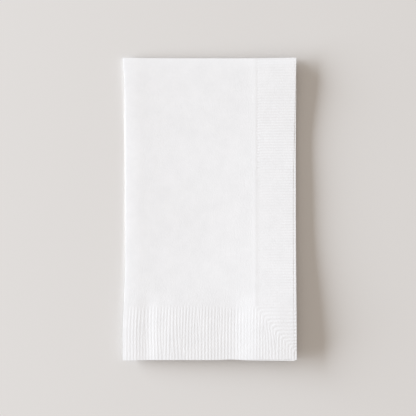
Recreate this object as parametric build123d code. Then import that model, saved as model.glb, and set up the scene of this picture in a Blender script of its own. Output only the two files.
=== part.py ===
"""Paper hand towel: one sheet of soft paper with a ribbed border, folded in half and then in thirds.

The half fold lies at the back (+Y) and joins the two leaves of the doubled sheet. The doubled sheet
is wrapped in three panels: the base lies on the table, the tuck folds in over it from the right, and
the flap folds over both from the left. The sheet's own edges lie at the right and at the front, and
a border of pressed ribs runs along them, mitred at the corner where the two borders meet.
"""

import os
from math import asin, atan2, ceil, degrees, floor, radians, sin, sqrt

from build123d import *

# Driving dimensions, in millimetres
FOLDED_WIDTH = 113.0  # over the left fold and the flap's free edge
FOLDED_LENGTH = 197.0  # over the half fold and the front edge
LEFT_HEIGHT = 2.0  # over the closed fold at the left
RIGHT_HEIGHT = 5.2  # over the flap's free edge at the right
SHEET = 0.18  # the sheet's thickness, its plies together
SIDE_BORDER = 26.0  # ribbed border along the flap's free edge
FRONT_BORDER = 34.5  # ribbed border along the front edge
RIB_PITCH = 2.0
RIB_DEPTH = 0.1  # valleys below the crests, which lie flush with the plain sheet
LEAF_CLEARANCE = 0.03  # air between a leaf's valleys and the plain field of the leaf behind it
SIDE_SKEW = 1.6  # the flap's outer leaf falls short of the inner one at the front of its side edge
FRONT_SKEW = 1.0  # and at the right of its front edge
TUCK_SETBACK = 8.0  # from the left fold to the tuck's free edge, at least
TUCK_CLEARANCE = 0.08  # air between the crests of the tuck's free edge and of the base, at least
FOLD_SETBACK = 1.0  # from the flap's free edge to the right fold
TRIM_MARGIN = 1.0  # how far a cutter stands clear of the edge it trims

# The doubled sheet, and the places along Y where its shape changes
LEAF_GAP = RIB_DEPTH + LEAF_CLEARANCE
STRIP = 2 * SHEET + LEAF_GAP
FRONT_Y = -FOLDED_LENGTH / 2
CORNER_Y = FRONT_Y + FRONT_BORDER
FOLD_Y = FOLDED_LENGTH / 2 - STRIP / 2

# A leaf lies between two offsets from the strip's middle, counted outwards
OUTER_LEAF = (LEAF_GAP / 2, STRIP / 2)
INNER_LEAF = (-STRIP / 2, -LEAF_GAP / 2)

# The side folds, as circles that the strip's middle follows in the cross section
LEFT_RADIUS = (LEFT_HEIGHT - STRIP) / 2
RIGHT_RADIUS = (RIGHT_HEIGHT - STRIP) / 4
RIGHT_X = FOLDED_WIDTH / 2 - FOLD_SETBACK - RIGHT_RADIUS - STRIP / 2
LEFT_CENTRE = Vector((LEFT_HEIGHT - FOLDED_WIDTH) / 2, LEFT_HEIGHT / 2)
RIGHT_CENTRE = Vector(RIGHT_X, STRIP / 2 + RIGHT_RADIUS)

# The flap leaves the top of the left fold for its free edge, and the tuck leaves the top of the right
# fold for the left fold's centre. Places along the panels are counted from that centre.
TO_EDGE = Vector(FOLDED_WIDTH / 2, RIGHT_HEIGHT) - LEFT_CENTRE
TO_RIGHT = RIGHT_CENTRE - LEFT_CENTRE
FLAP_ANGLE = degrees(atan2(TO_EDGE.Y, TO_EDGE.X) - asin(LEFT_HEIGHT / 2 / TO_EDGE.length))
TUCK_ANGLE = degrees(atan2(TO_RIGHT.Y, TO_RIGHT.X) + asin(RIGHT_RADIUS / TO_RIGHT.length))
FLAP_EDGE = sqrt(TO_EDGE.length**2 - (LEFT_HEIGHT / 2) ** 2)
TUCK_FOLD = sqrt(TO_RIGHT.length**2 - RIGHT_RADIUS**2)
TUCK_RISE = TUCK_CLEARANCE + STRIP + 2 * RIB_DEPTH - LEFT_RADIUS
TUCK_EDGE = max(TUCK_SETBACK - LEFT_HEIGHT / 2, TUCK_RISE / sin(radians(TUCK_ANGLE)))
CORNER = FLAP_EDGE - SIDE_BORDER


def rib(distance):
    """Height of the ribs' zigzag at a distance from the border's inner corner, with a crest there."""
    phase = distance / RIB_PITCH % 1.0
    return RIB_DEPTH * (abs(2 * phase - 1) - 1)


def rib_run(start, end, free=()):
    """Distances and rib heights from start to end. Ends that aren't free run into a fold, unribbed."""
    half = RIB_PITCH / 2
    clear = half / 4
    between = range(ceil((start + clear) / half), floor((end - clear) / half) + 1)
    places = [start, *(half * count for count in between), end]
    pressed = {start, end}.difference(free)
    return [(place, 0 if place in pressed else rib(place)) for place in places]


def on_panel(angle, along, up):
    """A point of the cross section, along a panel that rises to the right at an angle."""
    return LEFT_CENTRE + Vector(along, up).rotate(Axis.Z, angle)


def panel_line(angle, start, end, free, outward, side, ribbed):
    """One face of a panel in the cross section, on its upper side (1) or its lower side (-1)."""
    run = rib_run(start - CORNER, end - CORNER, {place - CORNER for place in free})
    if not ribbed:
        run = [(start - CORNER, 0), (end - CORNER, 0)]
    return Polyline([on_panel(angle, CORNER + d, side * (outward + rise)) for d, rise in run])


def leaf_face(leaf, flap_end, ribbed):
    """Cross section of a leaf through the flap, left fold, base, right fold and tuck."""
    lines, flap_ends, tuck_ends = [], [], []
    for offset in leaf:
        wrap = LEFT_RADIUS + offset
        flap = panel_line(FLAP_ANGLE, 0, flap_end, {flap_end}, wrap, 1, ribbed)
        left = CenterArc(LEFT_CENTRE, wrap, 90 + FLAP_ANGLE, 180 - FLAP_ANGLE)
        base = panel_line(0, 0, TO_RIGHT.X, {}, wrap, -1, ribbed)
        right = CenterArc(RIGHT_CENTRE, RIGHT_RADIUS + offset, -90, 180 + TUCK_ANGLE)
        tuck = panel_line(TUCK_ANGLE, TUCK_EDGE, TUCK_FOLD, {TUCK_EDGE}, offset, 1, ribbed)
        lines += [flap, left, base, right, tuck]
        flap_ends.append(flap @ 1)
        tuck_ends.append(tuck @ 0)
    return make_face([*lines, Line(flap_ends), Line(tuck_ends)])


def along_y(face, front, back):
    """A cross section drawn out from front to back."""
    return extrude(Plane.XZ.offset(-back) * face, back - front)


def across(angle, along, up):
    """A plane square to a panel, with its x along +Y and its y up out of the panel."""
    foot = on_panel(angle, along, up)
    way = Vector(1, 0).rotate(Axis.Z, angle)
    return Plane((foot.X, 0, foot.Y), x_dir=(0, 1, 0), z_dir=(way.X, 0, way.Y))


def flap_cutter(*corners):
    """A cutter through the flap alone, over an outline counted from the border's inner corner."""
    square = across(FLAP_ANGLE, CORNER, LEFT_RADIUS)
    corner = square.origin + Vector(0, CORNER_Y, 0)
    flat = Plane(corner, x_dir=square.z_dir, z_dir=square.y_dir)
    outline = make_face(Polyline(corners, close=True))
    return extrude(flat * outline, STRIP / 2 + 2 * RIB_DEPTH, both=True)


def front_band(leaf):
    """The ribbed front border of a leaf, cut on the flap along the mitre."""
    reach = SIDE_BORDER + TRIM_MARGIN
    band = along_y(leaf_face(leaf, FLAP_EDGE, ribbed=True), FRONT_Y, CORNER_Y)
    return band - flap_cutter((0, 0), (reach, 0), (reach, -reach))


def side_band(leaf):
    """The ribbed side border of a leaf, on the flap, from the mitre to the half fold."""
    reach = SIDE_BORDER + TRIM_MARGIN
    run = rib_run(CORNER_Y - FOLD_Y, SIDE_BORDER, {SIDE_BORDER})
    inner, outer = ([(CORNER_Y - d, offset + rise) for d, rise in run] for offset in leaf)
    section = make_face(Polyline(*inner, *reversed(outer), close=True))
    band = extrude(across(FLAP_ANGLE, CORNER, LEFT_RADIUS) * section, SIDE_BORDER)
    return band - flap_cutter((0, 0), (reach, -reach), (0, -reach))


def leaf_pieces(leaf):
    """One leaf of the doubled sheet: its two borders and its plain field."""
    field = along_y(leaf_face(leaf, CORNER, ribbed=False), CORNER_Y, FOLD_Y)
    return [front_band(leaf), side_band(leaf), field]


def skew_cutters():
    """What the flap's outer leaf lacks beside the inner one, from nothing at the folds to the corner."""
    beyond = SIDE_BORDER + TRIM_MARGIN
    before = -FRONT_BORDER - TRIM_MARGIN
    back = FOLD_Y - CORNER_Y
    side_end = SIDE_BORDER - SIDE_SKEW
    front_end = FRONT_SKEW - FRONT_BORDER
    side = [(SIDE_BORDER, back), (side_end, -FRONT_BORDER), (side_end, before), (beyond, before)]
    front = [(-CORNER, -FRONT_BORDER), (SIDE_BORDER, front_end), (beyond, front_end), (beyond, before)]
    return [flap_cutter(*side, (beyond, back)), flap_cutter(*front, (-CORNER, before))]


def half_fold():
    """The half fold: a hairpin between the leaves, carried along the panels and round the side folds."""
    eight_sided = RegularPolygon(STRIP / 2, side_count=8, major_radius=False, rotation=360 / 16)
    turn = eight_sided - Rectangle(LEAF_GAP, LEAF_GAP)
    hairpin = Pos(FOLD_Y, 0) * split(turn, Plane.YZ, keep=Keep.TOP)
    base = across(0, 0, -LEFT_RADIUS) * hairpin
    base_end = across(0, TO_RIGHT.X, -LEFT_RADIUS) * hairpin
    left_axis = Axis((LEFT_CENTRE.X, 0, LEFT_CENTRE.Y), (0, 1, 0))
    right_axis = Axis((RIGHT_CENTRE.X, 0, RIGHT_CENTRE.Y), (0, -1, 0))
    return [
        extrude(across(FLAP_ANGLE, 0, LEFT_RADIUS) * hairpin, FLAP_EDGE),
        revolve(base, left_axis, 180 - FLAP_ANGLE),
        extrude(base, TO_RIGHT.X),
        revolve(base_end, right_axis, 180 + TUCK_ANGLE),
        extrude(across(TUCK_ANGLE, TUCK_EDGE, 0) * hairpin, TUCK_FOLD - TUCK_EDGE),
    ]


def folded_towel():
    """The whole folded sheet, as one solid."""
    front, side, field = leaf_pieces(OUTER_LEAF)
    cutters = skew_cutters()
    pieces = [side - cutters, field, *leaf_pieces(INNER_LEAF), *half_fold()]
    return (front - cutters).fuse(*pieces)


os.makedirs("parts", exist_ok=True)
export_step(folded_towel(), "parts/folded_towel.step")
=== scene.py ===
"""Scene of a folded paper hand towel, lying flat in soft light from the left.

The towel is made as the real one is: a flat sheet has its border pressed into ribs, is folded in half
and then in thirds, settles into a loose pad, and is given the thickness of the paper. Lengths are in
millimetres until the finished mesh is set.
"""

import math

import bpy
import numpy as np
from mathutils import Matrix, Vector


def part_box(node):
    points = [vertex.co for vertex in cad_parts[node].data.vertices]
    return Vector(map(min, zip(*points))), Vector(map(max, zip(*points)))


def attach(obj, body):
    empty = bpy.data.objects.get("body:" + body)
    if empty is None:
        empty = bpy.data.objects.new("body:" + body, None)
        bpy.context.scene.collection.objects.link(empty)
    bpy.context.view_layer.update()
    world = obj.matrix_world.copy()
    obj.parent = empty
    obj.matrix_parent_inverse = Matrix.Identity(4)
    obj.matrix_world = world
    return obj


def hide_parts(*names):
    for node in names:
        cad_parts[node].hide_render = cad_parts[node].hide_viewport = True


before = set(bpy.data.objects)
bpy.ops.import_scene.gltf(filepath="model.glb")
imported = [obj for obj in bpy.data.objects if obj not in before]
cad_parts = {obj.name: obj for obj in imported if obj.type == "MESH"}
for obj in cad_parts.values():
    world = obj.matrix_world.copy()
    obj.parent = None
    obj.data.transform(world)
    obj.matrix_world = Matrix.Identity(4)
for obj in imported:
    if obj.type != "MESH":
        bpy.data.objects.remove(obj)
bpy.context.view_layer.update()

MM = 0.001
NODE = "folded_towel"

# The folded pad, from its part in model.glb
BOX_LOW, BOX_HIGH = (np.array(corner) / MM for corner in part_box(NODE))
WIDTH, LENGTH, RIGHT_HEIGHT = BOX_HIGH - BOX_LOW
LEFT_X, FRONT_Y, _ = BOX_LOW
RIGHT_X, BACK_Y, _ = BOX_HIGH

# The doubled sheet and its folds, before the pad settles
SHEET = 0.15  # room that a leaf takes up
LEAF_GAP = 0.1  # air between the two leaves
STRIP = 2 * SHEET + LEAF_GAP
LEFT_HEIGHT = 1.8  # over the closed fold at the left
TUCK_SETBACK = 8.0  # from the left fold to the tuck's free edge
FOLD_SETBACK = 1.0  # from the flap's free edge to the right fold
SIDE_SKEW = 1.8  # the flap's outer leaf falls short of the inner one at the front of its side edge
SKEW_RATE = 2.2  # how fast that skew grows over the length, up to its full size
FRONT_SKEW = 1.0  # and it falls short at the right of its front edge

# The paper, and how the flap's leaves lie along their free edges
PAPER = 0.06  # thickness of the paper
LEAF_AIR = 0.012  # air between the leaves where they lie close
RIB_ROOM = 0.05  # more air where the outer leaf is ribbed and the inner one isn't
CLOSE_REACH = 14.0  # distance from the free edges at which the leaves begin to come close
FREE_EDGE = SIDE_SKEW  # strip of the inner leaf that can show beside the outer one
PLAIN_RUN = 1.0  # width over which the inner leaf's ribs end behind that strip
OUTER_ROLL, OUTER_ROLL_REACH = 0.036, 0.95  # the edges roll down a little
INNER_ROLL, INNER_ROLL_REACH = 0.06, 1.0
BARE_RISE = 1.38 * PAPER  # how far the strip that shows stands up beside the outer leaf
BARE_START, BARE_END = 0.05, 0.45  # distances from the outer leaf over which it comes up

# The left fold, pressed to a crease
FOLD_SQUEEZE = 0.02  # its width, as a share of a round fold's
FOLD_BULGE = 0.05  # how far the crease bulges to the left
FOLD_INSET = 0.09  # how far the inner leaf's crease lies inside the outer one's
NEAR_FOLD = 3.0  # stretch of the panels over which the inset fades
FOLD_LINES = (0.14, 0.06)  # two close lines of points before the crease

# The pressed border
SIDE_BORDER = 26.0
FRONT_BORDER = 34.5
BORDER_LINE = 0.6  # first row of points inside the front border
RIB_PITCH = 2.0  # in the mitred corner
FRONT_PITCH = 2.1
SIDE_PITCH = 1.8
FRONT_RIB = 0.031  # heights of the ribs, from valley to crest
SIDE_RIB = 0.09
RIB_FADE = 2.0  # length over which the ribs end before a fold
MITRE_ROUND = 0.7  # how softly the ribs turn at the mitre
MITRE_LEAN, LEAN_END = 0.16, 20.0  # near the inner corner the mitre is steeper than 45 degrees
MITRE_BLEND = (-2.5, 0.5)  # from the side ribs' height to the front ribs', counted past the mitre
BORDER_STEP = 0.4  # width of the step from the plain field to the border
STRAY_REACH = 8.0  # distance from the mitre at which the ribs stray fully
FORKS = [  # places where a front rib begins or ends
    (-42, -81), (-30, -91), (-24, -93), (-18, -85), (-8, -70),
    (-6, -77), (6, -69), (7, -79), (36, -79), (43, -86),
]

# Where the front ribs, along X, and the side ribs, along Y, are pressed more or less
FRONT_PATCHES = [(-0.25, -36, 4), (-0.45, 25, 7), (-0.2, 46, 12)]
SIDE_PATCHES = [(0.36, 48, 28), (-0.4, 88, 14), (-0.45, -60, 9)]
FRONT_PRESS = 1.0
SIDE_PRESS = 0.98
EDGE_EASE, EASE_START, EASE_END = 0.2, 44, 54  # weaker side ribs towards the free edge

# The fine line along the inner edge of the side border: a ridge, a groove and where its columns lie
RIDGE, RIDGE_PLACE, RIDGE_REACH = 0.018, -0.8, 1.2
GROOVE, GROOVE_PLACE, GROOVE_REACH = 0.011, 0.95, 0.45
SIDE_START = 0.8  # from the inner edge to the first side ribs
GROOVE_START = SIDE_BORDER - 2.1
GROOVE_END = SIDE_BORDER + 0.9

# The settled pad's thickness, counted from the left fold
CREASE = 0.6  # at the fold itself
SHOULDER, SHOULDER_REACH = 0.068, 1.8  # a quick rise beside it
TUCK_SLOPE = 0.0135  # up to the tuck's free edge
PAD_SLOPE = 0.0072
PAD_CURVE, CURVE_END = 0.00015, 75.0  # past the tuck's free edge, and then straight on

# Its swells: a height, the shares of the length and the distances from the left that it comes in over
BACK_SWELL, BACK_PART, BACK_RUN = 0.2, (0.4, 0.15), (6, 62)
FRONT_SWELL, FRONT_PART, FRONT_POWER = 0.3, (0.42, 1), 1.5
CORNER_DROP, CORNER_PART, CORNER_RUN = 0.25, (0.92, 1), (75, 112)
WAVES_PART = (0.74, 0.86)
FRONT_WAVES = [
    (0.17, 15, 23), (0.06, 22, 33), (0.25, 71, 88),
    (-0.05, 8, 16), (-0.14, 30, 62), (-0.18, 52, 74), (-0.1, 98, 116),
]
HALF_FOLD_PINCH, PINCH_REACH = 0.16, 3.0  # thinner along the half fold

# The settled pad's lift and bowed edges: heights in millimetres, at shares of its length or width
LIFT_STEPS = [(2.5, 0.58, 0), (1.35, 0.72, 1)]
LIFT_HUMPS = [(0.43, 0.55, 0.12)]
LEFT_INSET = 1.6
LEFT_ARC, LEFT_ARC_MIDDLE = 0.9 / 0.34, 0.42
LEFT_HUMPS = [(0.35, 0.1, 0.06), (0.9, 1, 0.05)]
LEFT_STEPS = [(1.15, 0.36, 0.07)]
RIGHT_OUTSET = 0.15
RIGHT_HUMPS = [(0.25, 1, 0.15), (0.42, 0, 0.28)]
BACK_OUTSET, BACK_ARC = 0.4, 0.42
BACK_STEPS = [(0.2, 0.5, 0.75)]
FRONT_OUTSET = 0.45
FRONT_STEPS = [(0.8, 0.985, 1), (0.1, 0.45, 0.65)]
FRONT_HUMPS = [(-0.3, 0, 0.1), (-0.3, 1, 0.28), (0.4, 0.63, 0.06)]
BACK_POWER, FRONT_END_POWER = 4, 12  # how soon the bows fade away from their edges

# Colours of the paper, the floor and the light
PAPER_SHADE = (0.786, 0.7755, 0.773, 1)
PAPER_WHITE = (0.829, 0.8165, 0.814, 1)
PLASTER = (0.716, 0.69, 0.666, 1)
FILL = (0.535, 0.487, 0.441, 1)
BACKDROP = (0.70, 0.67, 0.645, 1)
DAYLIGHT = (0.914, 1.002, 1.105)

# Side folds, as circles that the strip's middle follows in the cross section
LEFT_RADIUS = (LEFT_HEIGHT - STRIP) / 2
RIGHT_RADIUS = (RIGHT_HEIGHT - STRIP) / 4
LEFT_CENTRE = np.array([LEFT_X + LEFT_HEIGHT / 2, LEFT_HEIGHT / 2])
RIGHT_CENTRE = np.array([RIGHT_X - FOLD_SETBACK - RIGHT_RADIUS - STRIP / 2, STRIP / 2 + RIGHT_RADIUS])
TO_EDGE = np.array([RIGHT_X, RIGHT_HEIGHT]) - LEFT_CENTRE
TO_RIGHT = RIGHT_CENTRE - LEFT_CENTRE
EDGE_AWAY = math.hypot(*TO_EDGE)
RIGHT_AWAY = math.hypot(*TO_RIGHT)
FLAP_ANGLE = math.atan2(TO_EDGE[1], TO_EDGE[0]) - math.asin(LEFT_HEIGHT / 2 / EDGE_AWAY)
TUCK_ANGLE = math.atan2(TO_RIGHT[1], TO_RIGHT[0]) + math.asin(RIGHT_RADIUS / RIGHT_AWAY)
FLAP_EDGE = math.sqrt(EDGE_AWAY**2 - (LEFT_HEIGHT / 2) ** 2)
TUCK_FOLD = math.sqrt(RIGHT_AWAY**2 - RIGHT_RADIUS**2)
TUCK_EDGE = TUCK_SETBACK - LEFT_HEIGHT / 2

# The border's inner corner on the flap
CORNER = FLAP_EDGE - SIDE_BORDER
CORNER_Y = FRONT_Y + FRONT_BORDER

# Distances along the flat sheet, counted from the flap's free edge
FLAP_END = FLAP_EDGE
LEFT_END = FLAP_END + LEFT_RADIUS * (math.pi - FLAP_ANGLE)
BASE_END = LEFT_END + TO_RIGHT[0]
RIGHT_END = BASE_END + RIGHT_RADIUS * (math.pi + TUCK_ANGLE)
FLAT_WIDTH = RIGHT_END + TUCK_FOLD - TUCK_EDGE

# Distances across the flat sheet, counted from the half fold: the outer leaf is on the minus side
TURN_RADIUS = (LEAF_GAP + SHEET) / 2
TURN_Y = BACK_Y - STRIP / 2
TURN_HALF = TURN_RADIUS * math.pi / 2
LEAF = TURN_HALF + TURN_Y - FRONT_Y
BORDER_START = LEAF - FRONT_BORDER

# Ways that an edge of the flat sheet can run
ALONG, ACROSS = 0, 1


def smooth(value, start, end):
    """A soft step from 0 at start to 1 at end."""
    share = np.clip((value - start) / (end - start), 0, 1)
    return share * share * (3 - 2 * share)


def swell(value, middle, reach):
    """A soft hump of height 1 about a middle."""
    return np.exp(-(((value - middle) / reach) ** 2))


def steps(value, rises):
    """The sum of soft steps, each given by its height, start and end."""
    return sum(height * smooth(value, start, end) for height, start, end in rises)


def humps(value, swells):
    """The sum of soft humps, each given by its height, middle and reach."""
    return sum(height * swell(value, middle, reach) for height, middle, reach in swells)


def select_only(piece):
    """Leaves one object selected and active."""
    bpy.ops.object.select_all(action="DESELECT")
    piece.select_set(True)
    bpy.context.view_layer.objects.active = piece


# The flat sheet


def places(start, *stretches):
    """Places from a start through stretches, each given by its end and the step inside it."""
    found = []
    for end, step in stretches:
        count = max(1, round(abs(end - start) / step))
        found += list(np.linspace(start, end, count + 1)[:-1])
        start = end
    return np.array(found + [start])


def coordinates(piece):
    """The mesh's points as an array of rows."""
    points = np.empty(len(piece.data.vertices) * 3)
    piece.data.vertices.foreach_get("co", points)
    return points.reshape(-1, 3)


def move_points(piece, points):
    """Puts the mesh's points at new places."""
    piece.data.vertices.foreach_set("co", points.ravel())
    piece.data.update()


def cut_across(piece, way, low, high, cuts):
    """Cuts the edges that run one way, ALONG or ACROSS, inside a rectangle of the flat sheet."""
    points = coordinates(piece)[:, :2]
    ends = np.empty(len(piece.data.edges) * 2, dtype=np.int32)
    piece.data.edges.foreach_get("vertices", ends)
    first, second = points[ends.reshape(-1, 2)].transpose(1, 0, 2)
    slack = 1e-3
    inside = np.all(np.minimum(first, second) > np.array(low) - slack, axis=1)
    inside &= np.all(np.maximum(first, second) < np.array(high) + slack, axis=1)
    inside &= np.abs(first - second)[:, 1 - way] < slack
    bpy.ops.object.mode_set(mode="EDIT")
    bpy.ops.mesh.select_mode(type="EDGE")
    bpy.ops.mesh.select_all(action="DESELECT")
    bpy.ops.object.mode_set(mode="OBJECT")
    piece.data.edges.foreach_set("select", inside)
    bpy.ops.object.mode_set(mode="EDIT")
    bpy.ops.mesh.subdivide(number_cuts=cuts, ngon=True, quadcorner="STRAIGHT_CUT")
    bpy.ops.object.mode_set(mode="OBJECT")


def sheet_columns():
    """Places of the flat sheet's columns, close together at its free edge, its fine line and its folds."""
    return places(
        0,
        (FREE_EDGE, 0.45),
        (GROOVE_START, 2.1),
        (GROOVE_END, 0.3),
        (FLAP_END - NEAR_FOLD, 2.1),
        (FLAP_END - FOLD_LINES[0], 0.45),
        (FLAP_END - FOLD_LINES[1], FOLD_LINES[0] - FOLD_LINES[1]),
        (FLAP_END, FOLD_LINES[1]),
        (LEFT_END, 0.3),
        (BASE_END, 6),
        (RIGHT_END, 0.6),
        (FLAT_WIDTH, 6),
    )


def sheet_rows():
    """Places of the flat sheet's rows, over the outer leaf, the half fold and the inner leaf."""
    return places(
        -LEAF,
        (-BORDER_START - BORDER_LINE, 2.2),
        (-BORDER_START, BORDER_LINE),
        (-TURN_HALF, 3.3),
        (0, 0.13),
        (TURN_HALF, 0.13),
        (BORDER_START, 6.6),
        (BORDER_START + BORDER_LINE, BORDER_LINE),
        (LEAF - FREE_EDGE, 4.4),
        (LEAF, 0.45),
    )


def flat_sheet():
    """The sheet before folding, finely cut where the ribs and folds will be."""
    columns = sheet_columns()
    rows = sheet_rows()
    bpy.ops.object.select_all(action="DESELECT")
    bpy.ops.mesh.primitive_grid_add(x_subdivisions=len(columns) - 1, y_subdivisions=len(rows) - 1, size=1)
    sheet = bpy.context.object
    sheet.name = sheet.data.name = "towel_sheet"
    points = coordinates(sheet)
    for way, lines in ((ALONG, columns), (ACROSS, rows)):
        points[:, way] = lines[np.rint((points[:, way] + 0.5) * (len(lines) - 1)).astype(int)]
    move_points(sheet, points)
    for way, low, high, cuts in (
        (ALONG, (FREE_EDGE, -LEAF), (GROOVE_START, -BORDER_START), 5),
        (ALONG, (GROOVE_END, -LEAF), (FLAP_END - NEAR_FOLD, -BORDER_START), 5),
        (ACROSS, (0, -LEAF), (GROOVE_END, -BORDER_START), 5),
        (ACROSS, (0, -BORDER_START), (GROOVE_END, -TURN_HALF), 8),
        (ALONG, (LEFT_END, -LEAF), (BASE_END, -BORDER_START), 11),
        (ALONG, (RIGHT_END, -LEAF), (FLAT_WIDTH, -BORDER_START), 5),
        (ALONG, (GROOVE_END, BORDER_START), (FLAP_END - NEAR_FOLD, LEAF), 3),
        (ACROSS, (0, TURN_HALF), (FREE_EDGE, LEAF - FREE_EDGE), 17),
        (ALONG, (LEFT_END, BORDER_START), (BASE_END, LEAF), 11),
        (ALONG, (RIGHT_END, BORDER_START), (FLAT_WIDTH, LEAF), 5),
    ):
        cut_across(sheet, way, low, high, cuts)
    return sheet


# The pressed ribs


def wander(x, y):
    """How far the ribs stray from even lines, as a turn of their phase."""
    stray = 0.5 * np.sin(x / 7.3 + 0.8 * np.sin(y / 9.1)) * np.sin(y / 11.7 + x / 23)
    return stray + 0.35 * np.sin(x / 3.1 - y / 6.4 + 1.3 * np.sin(y / 17 + x / 31))


def forks(x, y):
    """Turn of the phase round each fork of the front ribs, where one rib more begins or ends."""
    turn = np.zeros_like(x)
    for place, (fork_x, fork_y) in enumerate(FORKS):
        turn += (-1) ** place * np.arctan2(0.25 * (y - fork_y), x - fork_x)
    return turn


def rib_phase(x, y, right, lying, past_mitre, on_flap):
    """Phase of the ribs: counted along the front border, and on the flap nested round the mitre."""
    nested = -MITRE_ROUND * np.logaddexp(-right / MITRE_ROUND, -lying / MITRE_ROUND)
    inward = np.where(on_flap, nested, right)
    outer_pitch = np.where(past_mitre > 0, FRONT_PITCH, SIDE_PITCH)
    turns = np.maximum(inward, 0) / RIB_PITCH + np.minimum(inward, 0) / outer_pitch
    front_stray = smooth(past_mitre, 0, STRAY_REACH) * (0.5 * wander(x, 0.4 * y) + forks(x, y))
    side_stray = smooth(-past_mitre, 0, STRAY_REACH) * 0.4 * wander(0.3 * x, y)
    return 2 * math.pi * turns + np.where(on_flap, front_stray + side_stray, 0)


def rib_size(x, y, past_mitre):
    """Height of the ribs from valley to crest, which differs between the borders and from place to place."""
    to_front = smooth(past_mitre, *MITRE_BLEND)
    front = FRONT_PRESS + humps(x, FRONT_PATCHES)
    side = (SIDE_PRESS + humps(y, SIDE_PATCHES)) * (1 - EDGE_EASE * smooth(x, EASE_START, EASE_END))
    uneven = 0.15 * np.sin(x / 5.3 + y / 9) * np.sin(x / 2.7 - y / 13 + 1)
    strength = side + (front - side) * to_front + uneven
    return (SIDE_RIB + (FRONT_RIB - SIDE_RIB) * to_front) * strength


def inside_border(x, y, right, below, past_mitre, on_flap):
    """A step from 0 on the plain field to 1 on the border, along a slightly ragged line."""
    edge = np.where(past_mitre > 0, x, y)
    ragged = 0.1 * np.sin(1.9 * edge) + 0.1 * np.sin(0.7 * edge + 1)
    inside = np.where(on_flap, np.maximum(right - SIDE_START, below), below)
    return smooth(inside + ragged, 0, BORDER_STEP)


def rib_fade(along, y, on_flap, on_base, on_tuck):
    """Share of the ribs that is left near the folds, where nothing is pressed."""
    flap = smooth(FLAP_END - along, -1, 1)
    base = smooth(along - LEFT_END, 0, RIB_FADE) * smooth(BASE_END - along, 0, RIB_FADE)
    tuck = smooth(along - RIGHT_END, 0, RIB_FADE)
    return np.select([on_flap, on_base, on_tuck], [flap, base, tuck], 0) * smooth(TURN_Y - y, 0, RIB_FADE)


def rib_height(along, y):
    """Height that the press leaves on the sheet: ribs that turn at the mitred corner, and the fine line."""
    on_flap = along < FLAP_END
    on_base = (along > LEFT_END) & (along < BASE_END)
    on_tuck = along > RIGHT_END
    tuck_run = TUCK_FOLD + RIGHT_END - along
    from_left = np.select([on_flap, on_base], [FLAP_EDGE - along, along - LEFT_END], tuck_run)
    x = LEFT_CENTRE[0] + from_left
    right = from_left - CORNER
    below = CORNER_Y - y
    lying = below - MITRE_LEAN * np.clip(below, 0, LEAN_END)
    well_past = 99
    past_mitre = np.where(on_flap, lying - right, well_past)
    ribs = rib_size(x, y, past_mitre) * np.cos(rib_phase(x, y, right, lying, past_mitre, on_flap)) / 2
    ribs *= inside_border(x, y, right, below, past_mitre, on_flap)
    ribs *= rib_fade(along, y, on_flap, on_base, on_tuck)
    line = RIDGE * swell(right, RIDGE_PLACE, RIDGE_REACH) - GROOVE * swell(right, GROOVE_PLACE, GROOVE_REACH)
    return ribs + line * (on_flap & (below < 0))


# The folds


def strip_path(along):
    """Place and outward direction, in the cross section, of the strip's middle at a distance along it."""
    x, z, out_x, out_z = (np.zeros_like(along) for _ in range(4))
    for panel, angle, middle, side, run in (
        (along <= FLAP_END, FLAP_ANGLE, LEFT_RADIUS, 1, FLAP_EDGE - along),
        ((along > LEFT_END) & (along <= BASE_END), 0, -LEFT_RADIUS, -1, along - LEFT_END),
        (along > RIGHT_END, TUCK_ANGLE, 0, 1, TUCK_FOLD - (along - RIGHT_END)),
    ):
        cosine, sine = math.cos(angle), math.sin(angle)
        x[panel] = (LEFT_CENTRE[0] + run * cosine - middle * sine)[panel]
        z[panel] = (LEFT_CENTRE[1] + run * sine + middle * cosine)[panel]
        out_x[panel] = -sine * side
        out_z[panel] = cosine * side
    left_turn = math.pi / 2 + FLAP_ANGLE + (along - FLAP_END) / LEFT_RADIUS
    right_turn = (along - BASE_END) / RIGHT_RADIUS - math.pi / 2
    for fold, centre, radius, turn in (
        ((along > FLAP_END) & (along <= LEFT_END), LEFT_CENTRE, LEFT_RADIUS, left_turn),
        ((along > BASE_END) & (along <= RIGHT_END), RIGHT_CENTRE, RIGHT_RADIUS, right_turn),
    ):
        out_x[fold] = np.cos(turn)[fold]
        out_z[fold] = np.sin(turn)[fold]
        x[fold] = centre[0] + radius * out_x[fold]
        z[fold] = centre[1] + radius * out_z[fold]
    return x, z, out_x, out_z


def flap_offset(along, x, y, outer, plain, bare):
    """How far a leaf of the flap lies outwards of its even place, as the leaves come close at their edges."""
    loose = np.minimum(smooth(along, 0, CLOSE_REACH), smooth(y - FRONT_Y, 0, CLOSE_REACH))
    near = (PAPER + LEAF_AIR + RIB_ROOM * plain) / squash(x, y)
    closer = (1 - loose) * np.maximum(SHEET + LEAF_GAP - near, 0)
    inner_roll = INNER_ROLL * np.exp(-along / INNER_ROLL_REACH)
    outer_roll = OUTER_ROLL * np.exp(-along / OUTER_ROLL_REACH)
    rise = BARE_RISE * smooth(bare, BARE_START, BARE_END)
    return np.where(along < FLAP_END, np.where(outer, -outer_roll, closer - inner_roll + rise), 0)


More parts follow.
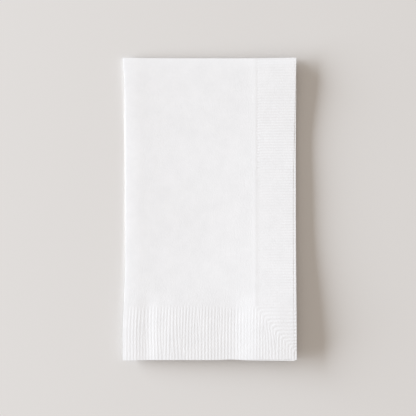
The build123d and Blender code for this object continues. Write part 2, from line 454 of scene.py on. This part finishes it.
def folded(points):
    """The flat sheet's points, folded in half and then in thirds, and the height that the press adds."""
    flat_along, across, _ = points.T
    outer = across < 0
    run = np.abs(across)
    turn = np.minimum(run, TURN_HALF) / TURN_RADIUS
    leaf = np.where(outer, 1, -1) * np.sin(turn)
    y = TURN_Y + TURN_RADIUS * np.cos(turn) - np.maximum(run - TURN_HALF, 0)
    forward = (TURN_Y - y) / (TURN_Y - FRONT_Y)
    side_skew = SIDE_SKEW * np.clip(forward * SKEW_RATE, 0, 1)
    along = flat_along + np.where(outer, side_skew * np.clip(1 - flat_along / FLAP_END, 0, 1), 0)
    front_skew = FRONT_SKEW * np.clip(1 - along / FLAP_END, 0, 1) ** 2
    y = y + np.where(outer, front_skew * np.clip(forward, 0, 1), 0)
    x, z, out_x, out_z = strip_path(along)
    plain = np.where(~outer & (along < GROOVE_END), smooth(along, FREE_EDGE, FREE_EDGE + PLAIN_RUN), 0)
    bare = np.maximum(side_skew - along, front_skew + FRONT_Y - y)
    outward = TURN_RADIUS * leaf + flap_offset(along, x, y, outer, plain, bare)
    on_fold = (along > FLAP_END) & (along < LEFT_END)
    x = np.where(on_fold, LEFT_CENTRE[0] + (x - LEFT_CENTRE[0]) * FOLD_SQUEEZE, x)
    from_fold = np.maximum(np.maximum(FLAP_END - along, along - LEFT_END), 0)
    inset = FOLD_INSET * (1 - leaf) / 2 * smooth(from_fold, NEAR_FOLD, 0)
    x = x + np.where(on_fold, FOLD_BULGE, outward) * out_x + inset
    z = z + outward * out_z
    return np.stack([x, y, z], axis=1), rib_height(along, y) * out_z * (1 - plain)


# The settled pad


def pad_height(x, y):
    """Thickness of the pad as it lies: creased at the left, full over the tuck's edge, open at the right."""
    from_left = np.clip(x - LEFT_X - LEFT_HEIGHT / 2, 0, None)
    forward = np.clip((BACK_Y - y) / LENGTH, 0, 1)
    past_tuck = np.clip(from_left - TUCK_SETBACK, 0, None)
    past_curve = np.clip(past_tuck - CURVE_END, 0, None)
    height = CREASE + SHOULDER * (1 - np.exp(-from_left / SHOULDER_REACH)) + PAD_SLOPE * from_left
    height += TUCK_SLOPE * np.minimum(from_left, TUCK_SETBACK)
    height += PAD_CURVE * (np.minimum(past_tuck, CURVE_END) ** 2 + 2 * CURVE_END * past_curve)
    height += BACK_SWELL * smooth(forward, *BACK_PART) * smooth(from_left, *BACK_RUN)
    height += FRONT_SWELL * smooth(forward, *FRONT_PART) * (from_left / WIDTH) ** FRONT_POWER
    height -= CORNER_DROP * smooth(forward, *CORNER_PART) * smooth(from_left, *CORNER_RUN)
    height += smooth(forward, *WAVES_PART) * steps(from_left, FRONT_WAVES)
    return height * (1 - HALF_FOLD_PINCH * swell(y, BACK_Y, PINCH_REACH))


def squash(x, y):
    """Share of the straight pad's thickness that is left where the pad has settled."""
    straight = LEFT_HEIGHT + (RIGHT_HEIGHT - LEFT_HEIGHT) * np.clip((x - LEFT_X) / WIDTH, 0, 1)
    return (pad_height(x, y) - SHEET / 2) / (straight - SHEET / 2)


def settled(points, press):
    """The folded pad as it lies: settled to its thickness, its ends lifted, its edges slightly bowed."""
    x, y, z = points.T
    rest = SHEET / 2
    right = np.clip((x - LEFT_X) / WIDTH, 0, 1)
    back = np.clip((y - FRONT_Y) / LENGTH, 0, 1)
    lift = steps(back, LIFT_STEPS) + humps(back, LIFT_HUMPS)
    z = rest + (z - rest) * squash(x, y) + lift + press
    left_arc = LEFT_ARC * (back - LEFT_ARC_MIDDLE) ** 2
    left_bow = left_arc + humps(back, LEFT_HUMPS) + steps(back, LEFT_STEPS)
    left_shift = LEFT_INSET - LEFT_RADIUS * (1 - FOLD_SQUEEZE) - left_bow
    right_shift = RIGHT_OUTSET + humps(back, RIGHT_HUMPS)
    x = x + left_shift * (1 - right) + right_shift * right
    back_arc = BACK_ARC * (1 - ((right - 0.5) / 0.5) ** 2)
    back_shift = back_arc - BACK_OUTSET + steps(right, BACK_STEPS)
    front_shift = steps(right, FRONT_STEPS) + humps(right, FRONT_HUMPS) - FRONT_OUTSET
    y = y - back_shift * back**BACK_POWER + front_shift * (1 - back) ** FRONT_END_POWER
    return np.stack([x, y, z], axis=1)


def towel():
    """The finished towel, as one closed sheet of paper."""
    sheet = flat_sheet()
    move_points(sheet, settled(*folded(coordinates(sheet))) * MM)
    select_only(sheet)
    thickness = sheet.modifiers.new("paper", "SOLIDIFY")
    thickness.thickness = PAPER * MM
    thickness.offset = 0
    thickness.use_even_offset = True
    bpy.ops.object.modifier_apply(modifier=thickness.name)
    bpy.ops.object.shade_smooth_by_angle(angle=math.radians(50))
    sheet.data.materials.append(paper())
    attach(sheet, "root")
    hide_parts(NODE)


# Materials


def matt_material(name, roughness):
    """A material without gloss, with its nodes, links and shader at hand."""
    material = bpy.data.materials.new(name)
    material.use_nodes = True
    nodes = material.node_tree.nodes
    shader = nodes["Principled BSDF"]
    shader.inputs["Roughness"].default_value = roughness
    shader.inputs["Specular IOR Level"].default_value = 0.0
    return material, nodes, material.node_tree.links, shader


def paper():
    """Soft white paper: faint clouds in its colour, and a felt of fine fibres in its surface."""
    material, nodes, links, shader = matt_material("soft_paper", 0.92)
    place = nodes.new("ShaderNodeTexCoord")
    clouds = nodes.new("ShaderNodeTexNoise")
    clouds.inputs["Scale"].default_value = 90
    clouds.inputs["Detail"].default_value = 4
    clouds.inputs["Roughness"].default_value = 0.75
    tint = nodes.new("ShaderNodeValToRGB")
    for stop, position, colour in zip(tint.color_ramp.elements, (0.3, 0.7), (PAPER_SHADE, PAPER_WHITE)):
        stop.position = position
        stop.color = colour
    fibres = nodes.new("ShaderNodeTexNoise")
    fibres.inputs["Scale"].default_value = 1400
    fibres.inputs["Detail"].default_value = 4
    bump = nodes.new("ShaderNodeBump")
    bump.inputs["Strength"].default_value = 0.57
    bump.inputs["Distance"].default_value = 0.12 * MM
    links.new(place.outputs["Object"], clouds.inputs["Vector"])
    links.new(place.outputs["Object"], fibres.inputs["Vector"])
    links.new(clouds.outputs["Fac"], tint.inputs["Fac"])
    links.new(tint.outputs["Color"], shader.inputs["Base Color"])
    links.new(fibres.outputs["Fac"], bump.inputs["Height"])
    links.new(bump.outputs["Normal"], shader.inputs["Normal"])
    return material


def plaster():
    """The floor's plain pale surface."""
    material, _, _, shader = matt_material("pale_plaster", 0.95)
    shader.inputs["Base Color"].default_value = PLASTER
    return material


# Stage


def floor():
    """A plain pale floor under the towel."""
    bpy.ops.object.select_all(action="DESELECT")
    bpy.ops.mesh.primitive_plane_add(size=2.4)
    ground = bpy.context.object
    ground.name = ground.data.name = "floor"
    ground.data.materials.append(plaster())


def window_light():
    """One broad, low light from the left, aimed at the towel."""
    bpy.ops.object.light_add(type="AREA", location=(-4.6, 0.64, 0.77))
    window = bpy.context.object
    window.name = "window"
    window.data.shape = "ELLIPSE"
    window.data.size = 6.5
    window.data.size_y = 1.4
    window.data.energy = 850
    window.data.color = DAYLIGHT
    aim = -window.location
    window.rotation_mode = "QUATERNION"
    window.rotation_quaternion = aim.to_track_quat("-Z", "Y")


def fill_light():
    """A warm even fill, with a paler backdrop where the world itself is seen."""
    world = bpy.data.worlds.new("fill")
    world.use_nodes = True
    nodes, links = world.node_tree.nodes, world.node_tree.links
    fill = nodes["Background"]
    fill.inputs["Color"].default_value = FILL
    backdrop = nodes.new("ShaderNodeBackground")
    backdrop.inputs["Color"].default_value = BACKDROP
    path = nodes.new("ShaderNodeLightPath")
    seen = path.outputs["Is Camera Ray"]
    for ray in ("Is Glossy Ray", "Is Transmission Ray"):
        also = nodes.new("ShaderNodeMath")
        also.operation = "MAXIMUM"
        links.new(seen, also.inputs[0])
        links.new(path.outputs[ray], also.inputs[1])
        seen = also.outputs["Value"]
    either = nodes.new("ShaderNodeMixShader")
    links.new(seen, either.inputs["Fac"])
    links.new(fill.outputs["Background"], either.inputs[1])
    links.new(backdrop.outputs["Background"], either.inputs[2])
    links.new(either.outputs["Shader"], nodes["World Output"].inputs["Surface"])
    bpy.context.scene.world = world


def camera():
    """Straight down on the towel, at the photograph's framing."""
    image_px = 416
    towel_px = 302
    right_px, up_px = -1.15, 0.7
    lens = 85
    sensor = 36
    pad_top = 5
    mm_per_px = LENGTH / towel_px
    distance = image_px * mm_per_px * lens / sensor
    place = (right_px * mm_per_px * MM, up_px * mm_per_px * MM, (distance + pad_top) * MM)
    bpy.ops.object.camera_add(location=place, rotation=(0, 0, 0))
    eye = bpy.context.object
    eye.data.lens = lens
    eye.data.sensor_width = sensor
    bpy.context.scene.camera = eye


bpy.context.scene.view_settings.view_transform = "Standard"
floor()
towel()
window_light()
fill_light()
camera()
